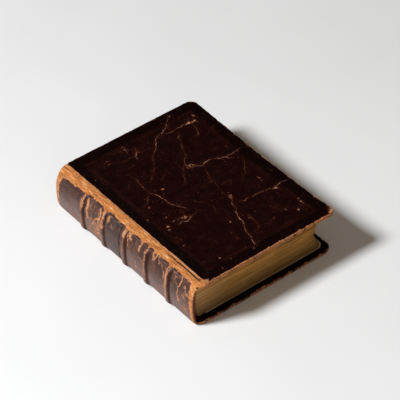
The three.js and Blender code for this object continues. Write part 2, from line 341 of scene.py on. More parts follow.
def leather_material(
    name, dark, warm, rust, tan, pale, orange, grime_and_shade, dust_and_sheen_colour, specular, rough, grain,
    raggedness
):
    """Old leather. 'wear' is how far it is rubbed through, 'side' the distance to the nearest crack
    with a sign for its two sides, 'opened' that crack's half width, 'halo' the flaking beside
    cracks, 'soot' how dark its grease and tooling have made it, with painted shade on
    the spine, 'paling' how far it turns to its dust and sheen colour, which is dust on the covers
    and a painted sheen of reflected light low on the spine and label, and 'faded' how pale it is
    where it is rubbed through."""
    g = Graph(name)
    fine = g.noise(1.5, 4.0, 0.65)
    coarse = g.noise(0.14, 5.0, 0.65)
    specks = g.noise(0.8, 5.0, 0.72)
    dust = g.noise(1.9, 2.0, 0.5)
    surface = g.mix(g.remap(coarse, 0.35, 0.7), dark, warm)
    surface = g.mix(g.remap(specks, 0.56, 0.74, 0.0, 0.75), surface, rust)
    surface = g.mix(g.remap(specks, 0.46, 0.3, 0.0, 0.6), surface, shade(dark, 0.45))
    # Paled towards the dust colour: dust on the covers, a painted sheen of reflected light low on
    # the spine and label.
    pale_dust_and_sheen = g.times(g.attribute("dusty"), g.remap(fine, 0.3, 0.62, 0.25, 1.0))
    surface = g.mix(pale_dust_and_sheen, surface, dust_and_sheen_colour)
    # A net of hair cracks that shows in places.
    bent = g.wandering(0.5, 3.0)
    net = g.cells(0.11, "DISTANCE_TO_EDGE", vector=bent)
    hair = g.times(g.remap(net, 0.025, 0.0), g.remap(coarse, 0.54, 0.7, 0.0, 0.6))
    surface = g.mix(hair, surface, g.mix(0.12, rust, tan))
    glow = g.times(g.attribute("halo"), g.remap(fine, 0.38, 0.66))
    surface = g.mix(glow, surface, g.mix(0.03, rust, orange))
    # Darkened by grease and tooling, and on the spine by painted shade.
    surface = g.mix(g.attribute("soot"), surface, grime_and_shade)
    surface = g.mix(g.remap(dust, 0.68, 0.78, 0.0, 0.35), surface, (0.3, 0.24, 0.22))
    flakes = g.remap(g.cells(0.3, vector=bent), 0.13, 0.05)
    flakes = g.times(g.times(flakes, g.remap(coarse, 0.46, 0.6)), 0.6)
    surface = g.mix(flakes, surface, g.mix(0.35, rust, tan))

    # Suede, in fibres along the book's height, where the surface has gone.
    ragged = g.shifted(fine, raggedness, g.attribute("wear"))
    worn = g.remap(ragged, 0.44, 0.6)
    edge = g.remap(ragged, 0.22, 0.46)
    fibres = g.noise(1.0, 5.0, 0.68, vector=g.stretched((0.8, 0.1, 0.8)))
    brown = shade(tan, 0.33)
    suede = g.ramp(fibres, ((0.37, brown), (0.445, tan), (0.54, tan), (0.625, pale)))
    blotch = g.noise(0.35, 3.0, 0.6)
    suede = g.mix(g.remap(blotch, 0.52, 0.72, 0.0, 0.45), suede, shade(tan, 0.6))
    suede = g.mix(g.remap(blotch, 0.45, 0.3, 0.0, 0.8), suede, orange)
    suede = g.mix(g.attribute("faded"), suede, g.mix(fine, tan, PINK_SUEDE))
    suede = g.mix(g.remap(specks, 0.47, 0.34, 0.0, 0.7), suede, brown)
    suede = g.mix(g.remap(specks, 0.53, 0.66, 0.0, 0.5), suede, pale)
    surface = g.mix(edge, surface, rust)
    surface = g.mix(worn, surface, suede)

    # Cracks, brown inside along their edges and pale in the middle.
    width = g.times(g.attribute("opened"), g.remap(fine, 0.3, 0.7, 0.35, 1.5))
    split = g.math("SUBTRACT", width, g.math("ABSOLUTE", g.attribute("side")))
    opened = g.remap(split, 0.0, 0.14)
    flesh = g.mix(0.65, shade(tan, 0.74), shade(PINK_SUEDE, 0.74))
    flesh = g.mix(g.remap(split, 0.05, 0.3), brown, flesh)
    surface = g.mix(opened, surface, flesh)
    bare = g.math("MAXIMUM", worn, opened)

    pores = g.cells(grain, "SMOOTH_F1")
    height = g.plus(g.times(pores, 0.5), g.times(fine, 0.5))
    height = g.math("SUBTRACT", height, g.times(worn, 0.6))
    height = g.math("MULTIPLY_ADD", g.times(fibres, worn), 0.9, height)
    dull = g.math("MAXIMUM", bare, g.attribute("soot"))
    uneven = g.remap(coarse, 0.3, 0.7, rough - 0.06, rough + 0.08)
    roughness = g.plus(uneven, g.times(dull, 0.4))
    shine = g.remap(dull, 0.0, 1.0, specular, 0.3 * specular)
    return g.finish(surface, roughness, shine, g.bump(height, 0.4, 0.14))


def leaf_material():
    """Leaves. 'edge' is 1 on their cut edges, under dulled and dirty gilding in fine streaks, and
    0 on their paper faces. The edges get painted shade and are darker towards the bottom of the
    block."""
    g = Graph("leaves")
    streak = g.noise(1.0, 5.0, 0.7, vector=g.stretched((0.035, 0.035, 1.9)))
    fine = g.noise(1.0, 3.0, 0.6, vector=g.stretched((0.09, 0.09, 8.0)))
    stain = g.noise(0.06, 3.0, 0.6)
    lines = g.plus(g.times(streak, 0.65), g.times(fine, 0.35))
    gold = g.ramp(lines, ((0.36, (0.20, 0.09, 0.010)), (0.46, (0.52, 0.275, 0.062)),
                          (0.56, (0.71, 0.41, 0.115)), (0.70, (0.92, 0.61, 0.24))))
    gold = g.mix(g.remap(stain, 0.45, 0.75, 0.0, 0.4), gold, (0.3, 0.15, 0.03))
    place = g.node("ShaderNodeSeparateXYZ", {"Vector": g.rest}).outputs
    dusty = g.remap(g.shifted(stain, 40, place["X"]), 30, -8)
    gold = g.mix(g.times(dusty, 0.4), gold, (0.68, 0.49, 0.30))
    # Painted shade: the edges darken towards the bottom of the block.
    low_shade = g.remap(g.shifted(stain, 12, place["Z"]), 24, 1)
    gold = g.mix(g.times(low_shade, 0.85), gold, (0.085, 0.032, 0.002))

    fibres = g.noise(2.2, 4.0, 0.65)
    clouds = g.noise(0.035, 4.0, 0.6)
    paper = g.mix(g.remap(clouds, 0.35, 0.75), (0.66, 0.56, 0.40), (0.50, 0.38, 0.22))
    paper = g.mix(g.remap(fibres, 0.35, 0.8, 0.0, 0.25), paper, (0.40, 0.28, 0.15))
    margin = g.times(g.remap(g.attribute("edge"), 0.0, 0.5), 0.75)
    paper = g.mix(margin, paper, (0.33, 0.2, 0.08))
    colour = g.mix(g.remap(g.attribute("edge"), 0.85, 0.99), paper, gold)
    return g.finish(colour, g.remap(streak, 0.3, 0.7, 0.55, 0.75), 0.3, g.bump(lines, 0.6, 0.25))


def paper_material(name, clean, browned):
    """Old paper, browned towards its edges and foxed."""
    g = Graph(name)
    fibres = g.noise(2.2, 4.0, 0.65)
    clouds = g.noise(0.035, 4.0, 0.6)
    spots = g.cells(0.11, vector=g.wandering(0.3, 2.0))
    colour = g.mix(g.remap(clouds, 0.35, 0.75), clean, browned)
    colour = g.mix(g.remap(fibres, 0.35, 0.8, 0.0, 0.3), colour, browned)
    foxing = g.times(g.remap(spots, 0.16, 0.02), g.remap(fibres, 0.35, 0.6))
    colour = g.mix(g.times(foxing, 0.55), colour, (0.30, 0.13, 0.04))
    colour = g.mix(g.times(g.attribute("edge"), 0.7), colour, (0.33, 0.2, 0.09))
    return g.finish(colour, 0.85, 0.2, g.bump(fibres, 0.25, 0.08))


def fibre_material(name, dark, light, scale, angle, object_space=True):
    """Twisted or woven thread: slanting strands with a fuzzy surface."""
    g = Graph(name, object_space)
    turned = g.node("ShaderNodeMapping", {"Vector": g.rest, "Rotation": (0, 0, angle)})
    strands = g.node("ShaderNodeTexWave", {"Vector": turned.outputs[0], "Scale": scale,
                                           "Distortion": 1.5, "Detail": 3.0}).outputs["Fac"]
    fuzz = g.noise(6.0, 3.0)
    colour = g.mix(g.times(strands, g.remap(fuzz, 0.2, 0.7)), dark, light)
    return g.finish(colour, 0.9, 0.2, g.bump(strands, 0.5, 0.1))


def board_material():
    """Grey-brown pulp board in thin layers."""
    g = Graph("pasteboard")
    layers = g.noise(1.0, 3.0, 0.6, vector=g.stretched((0.3, 0.3, 5.0)))
    pulp = g.noise(1.3, 4.0, 0.6)
    colour = g.mix(g.times(layers, pulp), (0.16, 0.10, 0.055), (0.46, 0.36, 0.24))
    return g.finish(colour, 0.92, 0.2, g.bump(pulp, 0.4, 0.15))


def floor_material():
    """A pale matt sheet, a little mottled."""
    g = Graph("floor", object_space=True)
    clouds = g.noise(0.009, 2.0, 0.5)
    return g.finish(g.ramp(clouds, ((0.0, (0.80,) * 3), (1.0, (0.86,) * 3))), 0.9, 0.1)


COVER_SKIN = leather_material(
    "cover_leather", dark=(0.0056, 0.0007, 0.0006), warm=(0.0105, 0.0014, 0.0010),
    rust=(0.044, 0.0078, 0.0048), tan=(0.42, 0.163, 0.066), pale=(0.6, 0.33, 0.17),
    orange=(0.45, 0.12, 0.025), grime_and_shade=(0.0026, 0.0006, 0.0005), dust_and_sheen_colour=(0.012, 0.010, 0.012),
    specular=0.05, rough=0.45, grain=2.2, raggedness=1.3)
SPINE_SKIN = leather_material(
    "spine_leather", dark=(0.036, 0.0155, 0.0115), warm=(0.085, 0.037, 0.027),
    rust=(0.2, 0.082, 0.05), tan=(0.455, 0.165, 0.046), pale=(0.70, 0.37, 0.16),
    orange=(0.55, 0.13, 0.022), grime_and_shade=(0.042, 0.0135, 0.0085), dust_and_sheen_colour=(0.21, 0.14, 0.128),
    specular=0.17, rough=0.46, grain=2.0, raggedness=2.3)
LABEL_SKIN = leather_material(
    "label_leather", dark=(0.023, 0.0155, 0.0135), warm=(0.06, 0.036, 0.030),
    rust=(0.13, 0.06, 0.04), tan=(0.4, 0.15, 0.04), pale=(0.58, 0.27, 0.1),
    orange=(0.5, 0.13, 0.025), grime_and_shade=(0.012, 0.007, 0.006), dust_and_sheen_colour=(0.12, 0.09, 0.085),
    specular=0.16, rough=0.44, grain=2.6, raggedness=1.4)
LEAVES = leaf_material()
ENDPAPER = paper_material("endpaper", (0.60, 0.50, 0.34), (0.42, 0.29, 0.15))
SILK = fibre_material("headband_silk", (0.08, 0.006, 0.005), (0.30, 0.032, 0.022), 2.2, 0.6, False)
HEMP = fibre_material("hemp_cord", (0.22, 0.14, 0.07), (0.5, 0.38, 0.22), 1.6, 0.7)
THREAD = fibre_material("linen_thread", (0.45, 0.36, 0.22), (0.75, 0.66, 0.48), 4.0, 0.7)
CLOTH = fibre_material("lining_cloth", (0.32, 0.25, 0.16), (0.6, 0.52, 0.38), 2.5, 0.8)
BOARD = board_material()


# ---- Covers ----

# Cracks in the front cover's leather: half width, then x,y of each point.
FRONT_CRACKS = (
    (0.21, 90,75, 85,71, 80,66, 74,63, 66,60, 62,54, 57,50, 52,46, 50,42),
    (0.11, 50,42, 46,36, 42,31, 34,23),
    (0.18, 70,61, 80,60, 90,60, 97,59),
    (0.18, 99,58, 98,52, 96,48, 93,44),
    (0.14, 104,64, 101,60, 103,54),
    (0.18, 84,56, 80,50, 77,43, 74,36, 72,31, 67,27, 62,22, 58,19),
    (0.3, 66,25, 68,21, 73,17, 76,16.5, 80,18, 86,17, 90,14, 94,13, 97,9),
    (0.21, 94,13, 100,13, 105,13, 109,14.5),
    (0.11, 76,16, 74,12, 72,7, 70,2, 69.5,-8, 68,-14, 69,-22),
    (0.29, 68.5,-22, 68,-26, 65,-31, 62,-37, 60,-42, 59.5,-48, 57,-52, 54.5,-57, 54,-61, 52.5,-66,
     51.5,-71, 48,-74),
    (0.16, 67,-46, 66.5,-51, 66,-56, 62,-62),
    (0.22, 70,-30.5, 80,-32, 88,-32, 93,-33.5, 100.5,-35, 104,-33),
    (0.21, 100.5,-35, 107,-33, 113,-34),
    (0.13, 104,6, 100,-1, 95,-8, 88,-13),
    (0.2, 27,38, 27,28, 26,22, 27,16, 30,10, 31,4, 31,0, 33,-6, 36,-10, 37,-15),
    (0.21, 20,-17.5, 25,-18, 30,-19),
    (0.22, 22,-22, 28,-23, 32,-22.5, 37,-21, 40,-20),
    (0.18, 30,-20, 31,-17, 33,-13),
    (0.21, 43,51, 46,57, 49,60),
    (0.11, 30,56, 40,55.5, 50,56.5, 58,55),
    (0.15, 42,69, 42,64, 40,60),
    (0.13, 58,19, 55,12, 50,8),
    (0.11, 14,8, 20,10, 26,18),
    (0.11, 45,-8, 50,-14, 52,-22, 50,-30),
    (0.11, 78,-42, 84,-47, 87,-55),
)
# Rubbed spots: (x, y, half width in x, half width in y, strength).
FRONT_SPOTS = (
    (67.5, 21.5, 1.5, 1.7, 0.66), (94, 13, 1.9, 1.1, 0.58), (96.1, 59.7, 1.5, 1.0, 0.64),
    (102, 59.3, 1.5, 0.9, 0.58), (104.8, 63.8, 0.8, 1.1, 0.5), (100.5, -35, 1.0, 0.8, 0.6),
    (68.5, -23, 1.1, 1.7, 0.6), (30, -20, 2.2, 1.4, 0.54), (15, -19, 0.75, 0.54, 0.56),
    (13, -22.5, 0.61, 0.48, 0.52), (36, 14, 0.82, 0.61, 0.56), (34, 9.5, 0.61, 0.48, 0.52),
    (46, 58, 2.2, 2, 0.5), (42, 65, 1.6, 1.2, 0.48), (23, 59, 1.4, 1.4, 0.5),
    (90, 74, 1.4, 0.9, 0.5), (3.5, 41.5, 0.48, 0.41, 0.6), (5, 52, 0.41, 0.34, 0.52),
    (5, 66, 0.41, 0.34, 0.52), (4.5, 36, 0.41, 0.34, 0.5), (20, -11, 0.82, 0.41, 0.54),
    (37, -63, 0.5, 0.42, 0.54), (22.5, -67, 0.45, 0.38, 0.52), (12, -41, 0.48, 0.61, 0.55),
    (14, -48, 0.48, 0.41, 0.52), (91, -58, 0.54, 0.48, 0.57), (97.5, -64, 0.48, 0.41, 0.54),
    (79, -59, 0.48, 0.41, 0.54), (66, -50, 0.8, 1.8, 0.48), (54, -5, 0.41, 0.41, 0.54),
    (14.5, -76, 0.54, 0.54, 0.56), (18.5, -75.5, 0.54, 0.54, 0.56), (48, -74, 0.82, 0.61, 0.54),
    (17, 5, 0.7, 1.4, 0.46), (52, -43, 0.41, 0.82, 0.46), (98, -20, 0.6, 1.6, 0.46),
    (85, -48, 0.41, 0.34, 0.52), (105, -58, 0.6, 2.2, 0.5), (28, -72, 0.48, 0.41, 0.5),
    (40, -38, 0.41, 0.34, 0.5), (8, 10, 0.34, 0.34, 0.5), (8, -5, 0.34, 0.34, 0.5),
)
BACK_CRACKS = (
    (0.28, 20,60, 30,48, 36,36, 48,28, 60,26),
    (0.22, 36,36, 30,24, 32,10, 28,-4),
    (0.36, 95,40, 88,28, 90,14, 82,2, 80,-14, 70,-24),
    (0.2, 82,2, 94,-6, 104,-4),
    (0.28, 50,-70, 56,-58, 52,-46, 60,-34, 70,-24),
    (0.15, 18,-40, 28,-44, 38,-40, 52,-46),
)
BACK_SPOTS = (
    (36, 36, 2.0, 2.4, 0.65), (88, 28, 2.0, 1.8, 0.65), (70, -24, 2.6, 2.0, 0.7),
    (52, -46, 1.8, 2.2, 0.65), (20, 20, 1.2, 1.0, 0.6), (100, -50, 1.4, 1.0, 0.6),
    (60, 60, 1.3, 1.0, 0.6), (10, -10, 1.0, 1.2, 0.6), (84, 64, 1.2, 0.9, 0.6),
)


CRACK_REACH = 1.6  # how far from a crack its 'side' is kept


def jagged(points, seed):
    """A crack's route with small sideways steps added between its points."""
    rng = np.random.default_rng(seed)
    route = np.reshape(points, (-1, 2)).astype(float)
    for _ in range(3):
        middle = (route[1:] + route[:-1]) / 2
        along = route[1:] - route[:-1]
        sideways = np.stack([-along[:, 1], along[:, 0]], -1)
        middle += sideways * rng.uniform(-0.17, 0.17, (len(middle), 1))
        both = np.empty((len(route) + len(middle), 2))
        both[0::2], both[1::2] = route, middle
        route = both
    return route


def distance_to_route(x, y, route):
    """Distance from each point to a route, with a sign for its side, and how far along it that
    is, from 0 to 1."""
    best, side, where = np.full(x.shape, 1e9), np.ones(x.shape), np.zeros(x.shape)
    count = len(route) - 1
    for n in range(count):
        (ax, ay), (bx, by) = route[n], route[n + 1]
        length = (bx - ax) ** 2 + (by - ay) ** 2
        t = np.clip(((x - ax) * (bx - ax) + (y - ay) * (by - ay)) / length, 0, 1)
        d = np.hypot(x - ax - t * (bx - ax), y - ay - t * (by - ay))
        nearer = d < best
        best[nearer] = d[nearer]
        where[nearer] = (n + t[nearer]) / count
        cross = (bx - ax) * (y - ay) - (by - ay) * (x - ax)
        side[nearer] = np.where(cross[nearer] < 0, -1, 1)
    return best, side, where


def crack_fields(x, y, cracks, seed):
    """For leather_material: the nearest crack's 'side' and 'opened', and the 'halo'. The last
    result is the depth of the grooves that the cracks make, from 0 to 1."""
    shape, x, y = x.shape, x.ravel(), y.ravel()
    side, nearest = np.full(x.shape, CRACK_REACH), np.full(x.shape, 1e9)
    opened, halo, groove = np.zeros((3, *x.shape))
    for number, (width, *points) in enumerate(cracks):
        route = jagged(points, seed + number)
        low, high = route.min(0) - 8, route.max(0) + 8
        near = (x > low[0]) & (x < high[0]) & (y > low[1]) & (y < high[1])
        nx, ny = x[near], y[near]
        d, sign, where = distance_to_route(nx, ny, route)
        uneven = 0.88 + 0.8 * fractal(nx, ny, 4, seed + 50 + number)
        taper = 0.35 + 0.65 * smoothstep(0, 0.1, where) * smoothstep(1, 0.8, where)
        wide = width * uneven * taper * smoothstep(CRACK_REACH, 0.6 * CRACK_REACH, d)
        closer = (d < nearest[near]) & (d < CRACK_REACH)
        places = np.flatnonzero(near)[closer]
        nearest[places] = d[closer]
        side[places] = (sign * d)[closer]
        opened[places] = wide[closer]
        halo[near] = np.maximum(halo[near], 2.4 * width * bell(d, 1.2))
        groove[near] = np.maximum(groove[near], 3 * width * bell(d, 0.45))
    fields = dict(side=side, opened=opened, halo=np.clip(halo, 0, 1))
    fields = {key: value.reshape(shape) for key, value in fields.items()}
    return fields, np.clip(groove, 0, 1).reshape(shape)


def spot_wear(x, y, spots, seed):
    """Wear round rubbed spots, each a cluster of flecks once the material's noise is added."""
    wear = np.full(x.shape, -1.0)
    rough = 1 + 0.6 * fractal(x, y, 1.8, seed) + 0.5 * fractal(x, y, 0.8, seed + 4)
    for cx, cy, rx, ry, strength in spots:
        d = np.hypot((x - cx) / rx, (y - cy) / ry) * np.maximum(rough, 0.4)
        wear = np.maximum(wear, strength * (1.0 - 0.36 * d))
    return wear


# Half of a cover's edge, from the middle of its thickness to its outside: height and inset.
EDGE_PROFILE = (
    (0.0, 0.0), (0.5, 0.0), (0.95, 0.02), (1.2, 0.09), (1.38, 0.22), (1.47, 0.4), (1.5, 0.62),
)
BORDER = 9.5  # width of the blind-tooled frame round a cover
FORE_BOW = 1.5  # how far a cover's fore edge curves inwards at its middle

# How rubbed each edge of a cover is: how far in its wear starts on the outside, and how far the
# thickness of the edge is rubbed through.
EDGE_WEAR = {
    "front": dict(tail=(1.3, 0.68), head=(0.9, 0.12), fore=(1.1, 0.34), spine=(0.7, 0.45)),
    "back": dict(tail=(0.8, 0.26), head=(0.8, 0.20), fore=(1.0, 0.26), spine=(0.9, 0.40)),
}
# And its corners: tail and fore, head and fore, tail and spine, head and spine.
CORNER_WEAR = {"front": (5.0, 1.2, 6.5, 2.0), "back": (2.6, 2.4, 3.5, 2.6)}
TAIL_REACH = {"front": 1.2, "back": 0.8}  # how much a cover has stretched at its tail


def stretch_tail(y, reach):
    """Moves y for leather that has stretched by that much at the tail."""
    return y - reach * smoothstep(-30, -HALF_HEIGHT, y)


def fore_bow(x, y):
    """How far points of a cover move inwards with its curved fore edge."""
    return FORE_BOW * (1 - (y / HALF_HEIGHT) ** 2) * smoothstep(60, COVER_WIDTH, x)


def cover_leather(side, cracks, spots, step, seed):
    """A cover with its outside up at z = 3, as one closed leather-covered slab."""
    xs = crowded(COVER_START, COVER_WIDTH, step)
    layers = np.array([(-h, e) for h, e in EDGE_PROFILE[:0:-1]] + list(EDGE_PROFILE))
    x, y, k, faces = box_lattice(xs, rows_over(HALF_HEIGHT, step), len(layers))
    x, y = round_corners(x, y, COVER_START, COVER_WIDTH, HALF_HEIGHT, 2.0, 7.0)
    z = layers[k, 0] + COVER_THICKNESS / 2

    # The edges are nibbled, and the fore edge the most, except near the head.
    rim = np.minimum(COVER_WIDTH - x, HALF_HEIGHT - np.abs(y))
    nibble = 0.18 * fractal(x + y, x - y, 4, seed + 7) + 0.12 * fractal(x + z, y, 1.3, seed + 8)
    fore = smoothstep(COVER_WIDTH - 3, COVER_WIDTH, x)
    nibble = nibble * (1 + 1.3 * fore * smoothstep(60, 35, y))
    inset = layers[k, 1] + (nibble + 0.05) * np.exp(-rim / 3) * (rim < 12)
    middle, half_x = (COVER_START + COVER_WIDTH) / 2, (COVER_WIDTH - COVER_START) / 2
    x = middle + (x - middle) * (1 - inset / half_x)
    y = y * (1 - inset / HALF_HEIGHT)
    bow = fore_bow(x, y)
    x = x - bow
    from_edge = dict(tail=y + HALF_HEIGHT, head=HALF_HEIGHT - y,
                     fore=COVER_WIDTH - bow - x, spine=x - COVER_START)
    from_corners = [np.hypot(x - cx, y - cy * HALF_HEIGHT)
                    for cx in (COVER_WIDTH, COVER_START) for cy in (-1, 1)]
    y = stretch_tail(y, TAIL_REACH[side])
    if side == "front":
        # The leather of the tail corner has come loose and stands out.
        loose = bell(from_corners[0], 11) * (1 + 0.3 * fractal(x - y, z, 3, seed + 9))
        x, y = x + 1.2 * loose, y - 0.5 * loose

    top = k == len(layers) - 1
    fields, groove = crack_fields(x, y, cracks, seed)
    groove = np.where(top, groove, 0)
    fields["opened"] = np.where(top, fields["opened"], 0)
    rim = np.minimum(np.minimum(from_edge["tail"], from_edge["head"]), from_edge["fore"])
    ragged = fractal(x, y, 3.5, seed + 20) + 0.5 * fractal(x, y, 0.9, seed + 24)

    wear = np.where(top, spot_wear(x, y, spots, seed + 90), -1)
    on_edge = z < 2.2
    for name, (reach, rubbed) in EDGE_WEAR[side].items():
        distance = from_edge[name]
        if name == "fore":
            rubbed = rubbed - 0.35 * smoothstep(-30, 25, y)
        wear = np.maximum(wear, np.where(on_edge, -1, rubbed + 0.55 - distance / reach))
        wear = np.where(on_edge & (distance < 1.6), np.maximum(wear, rubbed), wear)
    for distance, inner, reach in zip(from_corners, (3.2, 3.2, 0, 0), CORNER_WEAR[side]):
        wear = np.maximum(wear, 1.05 - (distance - inner) / reach)
    # Along the tail half of the hinge the leather's edge has split and curled.
    if side == "front":
        curled = smoothstep(-34, -46, y) * smoothstep(1.0, 0.5, from_edge["spine"])
        wear = np.maximum(wear, curled)
    wear = wear + (0.26 + 0.16 * smoothstep(3, 1, rim)) * ragged
    wear = np.where((z < 0.4) & (rim > 1.2), -0.1 + 0.2 * ragged, wear)
    if side == "back":
        # What the book lay on has rubbed its edges all the way down.
        scraped = 0.55 * smoothstep(0.1, 0.7, z) + 0.15 * ragged
        wear = np.where(rim < 1.6, np.maximum(wear, scraped), wear)

    # The tooled line inside the darker border, with a scuffed line beside it.
    frame_rim = np.minimum(rim, x + 1.5)
    patchy = 1.2 * fractal(x, y, 6, seed + 40)
    soot = 0.72 * smoothstep(BORDER + 1.6, BORDER - 1.4, frame_rim + 0.9 * patchy)
    line = np.abs(frame_rim - 1 - BORDER)
    tooled = bell(line, 0.4)
    scuffed = np.clip(0.5 + fractal(x, y, 7, seed + 44), 0, 1)
    near_line = bell(line - 0.9, 0.6) * scuffed * 0.55
    fields["halo"] = np.where(top, np.maximum(fields["halo"], near_line), 0)
    wave = 0.10 * fractal(x, y, 22, seed + 30) + 0.035 * fractal(x, y, 4, seed + 33)
    lift = wave - 0.16 * groove + 0.05 * fields["halo"] - 0.12 * tooled
    sunk = 0.12 * smoothstep(0.4, 0.8, wear)
    z = z + np.where(top, (lift - sunk) * smoothstep(0, 2, rim) - 0.08, 0)
    by_spine = smoothstep(14, 2, x) * (0.5 + 0.5 * fractal(x, y, 9, seed + 50))
    fields.update(wear=wear, soot=soot, faded=0.35 * (rim > 2), dusty=0.45 * by_spine)
    return *on_cover(side, x, y, z, faces), fields


def on_cover(side, x, y, z, faces):
    """Puts in its place what was made as part of a cover with its outside up at z = 3."""
    if side == "front":
        return np.stack([x, y, z + (THICKNESS - COVER_THICKNESS)], -1), faces
    return np.stack([x, y, COVER_THICKNESS - z], -1), faces[:, ::-1]


def add_cover(side, cracks, spots, step, seed):
    points, faces, fields = cover_leather(side, cracks, spots, step, seed)
    piece = add_mesh(f"{side}_cover_leather_skin", points, faces, COVER_SKIN, **fields)
    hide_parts(f"{side}_cover_leather")
    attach(piece, f"{side}_cover")


def add_board(side):
    """The pasteboard inside a cover's leather."""
    x0, x1, half_y = 0.6, COVER_WIDTH - 1.0, HALF_HEIGHT - 1.0
    zs = np.array([0.7, 1.1, 1.9, 2.3])
    x, y, k, faces = box_lattice(crowded(x0, x1, 6), rows_over(half_y, 6), len(zs))
    x, y = round_corners(x, y, x0, x1, half_y, 1.5, 6.0)
    x = x - fore_bow(x, y) - 0.2 * (k % 3 == 0)
    points, faces = on_cover(side, x, y, zs[k], faces)
    piece = add_mesh(f"{side}_board_pulp", points, faces, BOARD)
    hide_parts(f"{side}_board")
    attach(piece, f"{side}_cover")


def add_pastedown(side):
    """Paper pasted inside a cover, over the folded-in leather."""
    half_y = HALF_HEIGHT - 6.2
    xs = crowded(0.2, COVER_WIDTH - 6.6, 3)
    x, y, k, faces = box_lattice(xs, rows_over(half_y, 3), 2)
    rim = np.minimum(np.minimum(x - xs[0], xs[-1] - x), half_y - np.abs(y))
    lift = 0.035 * fractal(x, y, 18, 5) + 0.03
    # The folded-in leather below shows as a low step in the paper.
    step = 0.05 * smoothstep(7, 5, rim)
    inwards = np.where(k == 0, -0.2, lift + step * smoothstep(0, 0.5, rim))
    points, faces = on_cover(side, x, y, -inwards, faces[:, ::-1])
    edge = smoothstep(9, 0, rim + 2 * fractal(x, y, 12, 9))
    piece = add_mesh(f"{side}_pastedown_paper", points, faces, ENDPAPER, edge=edge)
    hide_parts(f"{side}_pastedown")
    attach(piece, f"{side}_cover")


# ---- Spine ----

def profile(place):
    """Points of the spine's section and their outward directions, at numbered places."""
    place = np.asarray(place, float)
    last = len(SPINE_PROFILE) - 1
    n = np.clip(np.floor(place).astype(int), 0, last - 1)
    t = (place - n)[..., None]
    before, a = SPINE_PROFILE[np.maximum(n - 1, 0)], SPINE_PROFILE[n]
    b, after = SPINE_PROFILE[n + 1], SPINE_PROFILE[np.minimum(n + 2, last)]
    slope_a, slope_b = (b - before) / 2, (after - a) / 2
    point = ((2 * t**3 - 3 * t**2 + 1) * a + (t**3 - 2 * t**2 + t) * slope_a
             + (3 * t**2 - 2 * t**3) * b + (t**3 - t**2) * slope_b)
    along = ((6 * t**2 - 6 * t) * (a - b) + (3 * t**2 - 4 * t + 1) * slope_a
             + (3 * t**2 - 2 * t) * slope_b)
    along /= np.linalg.norm(along, axis=-1, keepdims=True)
    outwards = np.stack([-along[..., 1], along[..., 0]], -1)
    return point, outwards


def on_spine(place, y, offset):
    point, outwards = profile(place)
    moved = point + outwards * np.asarray(offset)[..., None]
    return np.stack([moved[..., 0], y + 0 * moved[..., 0], moved[..., 1]], -1)


LAST_PLACE = len(SPINE_PROFILE) - 1
FINE_PLACES = np.linspace(0, LAST_PLACE, 1401)
FINE_STEPS = np.linalg.norm(np.diff(profile(FINE_PLACES)[0], axis=0), axis=1)
FINE_LENGTHS = np.concatenate([[0], np.cumsum(FINE_STEPS)])
FRONT_HINGE_LENGTH = np.interp(FRONT_HINGE, FINE_PLACES, FINE_LENGTHS)


def depth_of(place):
    """Distance over the leather from the front hinge line down to a place on the spine."""
    return FRONT_HINGE_LENGTH - np.interp(place, FINE_PLACES, FINE_LENGTHS)


def place_at(depth):
    return np.interp(FRONT_HINGE_LENGTH - np.asarray(depth, float), FINE_LENGTHS, FINE_PLACES)


# The lower edge of the bare strip beside the front hinge: (y, depth), tail to head.
STRIP_EDGE = np.array([
    (-80, 7.5), (-72, 7.0), (-66, 6.2), (-52, 5.9), (-44, 6.2), (-30, 6.4), (-24, 6.3), (-9, 6.5),
    (-1, 6.8), (3, 6.6), (19, 6.4), (23, 7.2), (28, 6.4), (43, 6.2), (50, 7.2), (60, 8.0),
    (72, 9.2), (80, 9.5),
])
# Runs where shade below the strip's lifted edge is painted as dark dashes: from one y to another.
SHADED_RUNS = (
    (-72, -66), (-61, -53), (-47, -41), (-37, -36), (-31, -27), (-24, -20.5), (-17, -9), (-4, -2.5),
    (3, 20), (28, 44), (51, 58), (60, 71),
)
# Places rubbed bare on the spine: half width, strength, then y,depth of each point.
SPINE_STROKES = (
    (1.2, 0.95, 42.5,8.5, 42,13, 42.5,17, 41,21, 42,25),
    (0.8, 0.9, 47,7, 46.6,12, 46.8,18),
    (0.9, 0.95, 28.5,8.5, 26.8,11, 25.6,15, 28,17, 31,19, 33.5,22, 34,27),
    (0.7, 0.75, 34,27, 32,31, 33,36),
    (1.1, 0.9, 22.8,6, 22.4,11, 22,16, 22.6,21),
    (0.7, 0.85, 24.8,12, 24.2,17, 24.6,22),
    (0.8, 0.9, 18.6,8.5, 17.6,11, 16.8,13.5),
    (1.3, 1.0, -0.6,7, -1.3,9.5, -1.6,12),
    (1.3, 1.0, -6.2,7, -6.2,9, -7.4,11),
    (0.5, 0.85, -4.6,8, -4.4,11, -5.4,14, -6,18),
    (0.9, 0.85, -18.6,6, -18.8,9, -18,12, -18.2,15),
    (0.6, 0.8, -25.2,6, -26,9, -25.4,12),
    (0.9, 0.85, -31.6,6, -32.2,9, -33,12),
    (0.6, 0.8, -35,6, -35.4,8.5, -34.4,11),
    (0.7, 0.8, -37.4,6, -38.4,9, -40,11.5),
    (0.45, 0.85, -40,9.5, -43,11, -45.4,13.5, -46.4,17, -46,21),
    (0.9, 0.95, -49.6,6, -50.4,12, -50.2,20, -50.6,34, -50.2,44),
    (0.55, 0.9, -63.4,7.5, -64.4,11, -63.4,14.5, -62.6,18.5, -62.2,25, -63,29),
    (0.4, 0.75, -58,10, -60,14, -62.6,18),
    (0.4, 0.75, -69,11, -70.6,14, -69.4,19, -71,24),
    (0.4, 0.6, 10,24, 12,30, 10,37),
    (0.5, 0.65, -14,22, -15,30, -13,38),
)
